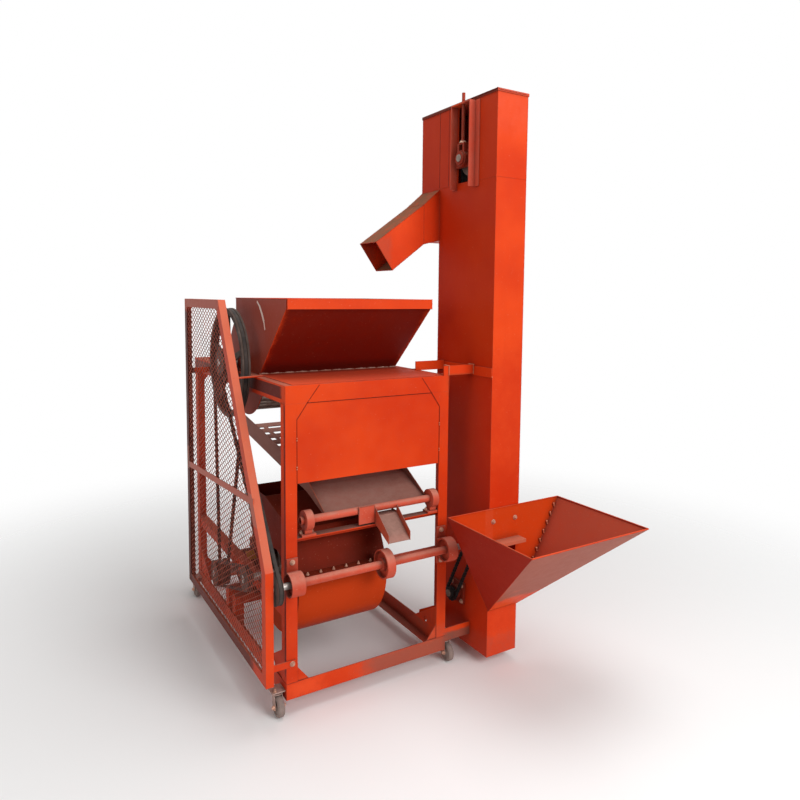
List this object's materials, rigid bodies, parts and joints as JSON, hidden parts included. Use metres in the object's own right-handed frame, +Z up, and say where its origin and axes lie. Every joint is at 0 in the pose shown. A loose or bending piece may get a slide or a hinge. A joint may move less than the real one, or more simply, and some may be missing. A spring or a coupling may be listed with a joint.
{
  "type": "peanut sheller",
  "caption": "Peanut shelling machine: open angle frame with feed hopper, drum, fan and rocking sieve, belt guard, and a tall bucket elevator with inlet hopper and spout.",
  "frame": {"origin": "middle of the footprint on the floor", "axes": "+Z up, -Y to the feeding side with the low hopper, +X to the bucket elevator, -X to the belt guard"},
  "size_m": [1.347, 1.85, 2.42],
  "materials": {
    "frame_paint": "satin orange-red enamel",
    "hopper_paint": "satin orange-red enamel, dusty",
    "spout_paint": "satin orange-red enamel, dusty on top",
    "sieve_paint": "orange-red enamel under brown dust",
    "tower_paint": "satin orange-red enamel",
    "lid_paint": "dark, dusty enamel",
    "guard_paint": "satin orange-red enamel, rubbed",
    "guard_steel": "dull bare steel",
    "fan_paint": "orange-red enamel, worn and dusty",
    "bearing_paint": "orange-red enamel over cast and turned steel, greasy",
    "bearing_iron": "painted cast iron, dusty",
    "drum_steel": "dull mill steel",
    "shaft_steel": "turned",
    "pulley_iron": "dark cast iron",
    "chain_steel": "oiled, dirty",
    "motor_paint": "dusty enamel",
    "belt_rubber": "matte",
    "caster_steel": "zinc plated, dusty",
    "caster_rubber": "matte, dusty",
    "bolt_steel": "zinc plated"
  },
  "bodies": {
    "machine": {"posts": "frame_paint", "top_beams": "frame_paint", "foot_beams": "frame_paint", "corner_gussets": "frame_paint", "inner_rails": "frame_paint", "motor_bench": "frame_paint", "front_panel": "frame_paint", "tower_brackets": "frame_paint", "feed_hopper": "hopper_paint", "drum_casing": "hopper_paint", "inlet_hopper": "hopper_paint", "spout": "spout_paint", "kernel_chute": "sieve_paint", "tower_column": "tower_paint", "tower_head": "tower_paint", "head_lid": "lid_paint", "guard_frame": "guard_paint", "guard_mesh": "guard_steel", "fan_housing": "fan_paint", "lay_bearings": "bearing_paint", "rocker_bearings": "bearing_paint", "lay_tube": "bearing_paint", "take_up_rails": "bearing_paint", "shaft_bearings": "bearing_iron", "boot_bearings": "bearing_iron", "concave_screen": "drum_steel", "buckets": "drum_steel", "drive_chain": "chain_steel", "motor_body": "motor_paint", "drum_belt": "belt_rubber", "fan_belt": "belt_rubber", "lay_belt": "belt_rubber", "elevator_belt": "belt_rubber", "caster_plates": "caster_steel", "rear_caster_forks": "caster_steel", "plate_bolts": "bolt_steel"},
    "shelling_drum": {"drum_shaft": "shaft_steel", "beater_drum": "drum_steel", "drum_pulley": "pulley_iron"},
    "fan_rotor": {"fan_shaft": "shaft_steel", "fan_impeller": "drum_steel", "fan_pulley": "pulley_iron"},
    "motor_rotor": {"motor_shaft": "shaft_steel", "motor_pulley": "pulley_iron"},
    "lay_drive": {"lay_shaft": "shaft_steel", "lay_pulley": "pulley_iron", "lay_sprocket": "chain_steel"},
    "boot_drive": {"boot_pulley": "drum_steel", "boot_sprocket": "chain_steel"},
    "take_up": {"take_up_blocks": "bearing_iron"},
    "head_drum": {"head_pulley": "drum_steel"},
    "sieve": {"rocker_tube": "bearing_paint", "sieve_box": "sieve_paint"},
    "sieve_rod": {"connecting_rod": "drum_steel"},
    "front_left_fork": {"caster_fork_front_left": "caster_steel"},
    "front_right_fork": {"caster_fork_front_right": "caster_steel"},
    "front_left_wheel": {"caster_wheel_front_left": "caster_rubber"},
    "front_right_wheel": {"caster_wheel_front_right": "caster_rubber"},
    "rear_left_wheel": {"caster_wheel_rear_left": "caster_rubber"},
    "rear_right_wheel": {"caster_wheel_rear_right": "caster_rubber"}
  },
  "joints": [
    {"name": "drum_spin", "type": "hinge", "parent": "machine", "child": "shelling_drum", "pos_m": [-0.2035, 0.252, 1.2805], "axis": [1, 0, 0], "continuous": true},
    {"name": "fan_spin", "type": "hinge", "parent": "machine", "child": "fan_rotor", "pos_m": [-0.2035, -0.043, 0.443], "axis": [1, 0, 0], "continuous": true},
    {"name": "motor_spin", "type": "hinge", "parent": "machine", "child": "motor_rotor", "pos_m": [-0.5635, 0.375, 0.312], "axis": [1, 0, 0], "continuous": true},
    {"name": "lay_spin", "type": "hinge", "parent": "machine", "child": "lay_drive", "pos_m": [-0.2035, -0.367, 0.527], "axis": [1, 0, 0], "continuous": true},
    {"name": "boot_spin", "type": "hinge", "parent": "machine", "child": "boot_drive", "pos_m": [0.3665, -0.231, 0.262], "axis": [1, 0, 0], "continuous": true},
    {"name": "take_up_slide", "type": "slide", "parent": "machine", "child": "take_up", "axis": [0, 0, 1], "range_m": [-0.03, 0.03], "deforming": ["elevator_belt"]},
    {"name": "head_spin", "type": "hinge", "parent": "take_up", "child": "head_drum", "pos_m": [0.3665, -0.231, 2.15], "axis": [1, 0, 0], "continuous": true},
    {"name": "sieve_rock", "type": "hinge", "parent": "machine", "child": "sieve", "pos_m": [-0.2035, -0.291, 0.73], "axis": [1, 0, 0], "range_deg": [-0.69, 0.69]},
    {"name": "sieve_rod_pin", "type": "hinge", "parent": "sieve", "child": "sieve_rod", "pos_m": [-0.0645, -0.043, 0.77969], "axis": [1, 0, 0], "range_deg": [-0.69, 0.69]},
    {"name": "front_left_swivel", "type": "hinge", "parent": "machine", "child": "front_left_fork", "pos_m": [-0.5875, -0.278, 0.0977], "axis": [0, 0, 1], "range_deg": [-192, 12]},
    {"name": "front_right_swivel", "type": "hinge", "parent": "machine", "child": "front_right_fork", "pos_m": [0.1805, -0.278, 0.0977], "axis": [0, 0, 1], "range_deg": [-12, 192]},
    {"name": "front_left_roll", "type": "hinge", "parent": "front_left_fork", "child": "front_left_wheel", "pos_m": [-0.5875, -0.298, 0.038], "axis": [1, 0, 0], "continuous": true},
    {"name": "front_right_roll", "type": "hinge", "parent": "front_right_fork", "child": "front_right_wheel", "pos_m": [0.1805, -0.298, 0.038], "axis": [1, 0, 0], "continuous": true},
    {"name": "rear_left_roll", "type": "hinge", "parent": "machine", "child": "rear_left_wheel", "pos_m": [-0.5875, 0.868, 0.038], "axis": [1, 0, 0], "continuous": true},
    {"name": "rear_right_roll", "type": "hinge", "parent": "machine", "child": "rear_right_wheel", "pos_m": [0.1805, 0.868, 0.038], "axis": [1, 0, 0], "continuous": true}
  ],
  "couplings": [
    {"joint": "motor_spin", "follows": "drum_spin", "ratio": 4.3462},
    {"joint": "fan_spin", "follows": "drum_spin", "ratio": 4.913},
    {"joint": "lay_spin", "follows": "drum_spin", "ratio": 1},
    {"joint": "boot_spin", "follows": "drum_spin", "ratio": 1},
    {"joint": "head_spin", "follows": "drum_spin", "ratio": 1},
    {"joint": "sieve_rod_pin", "follows": "sieve_rock", "ratio": -1}
  ]
}
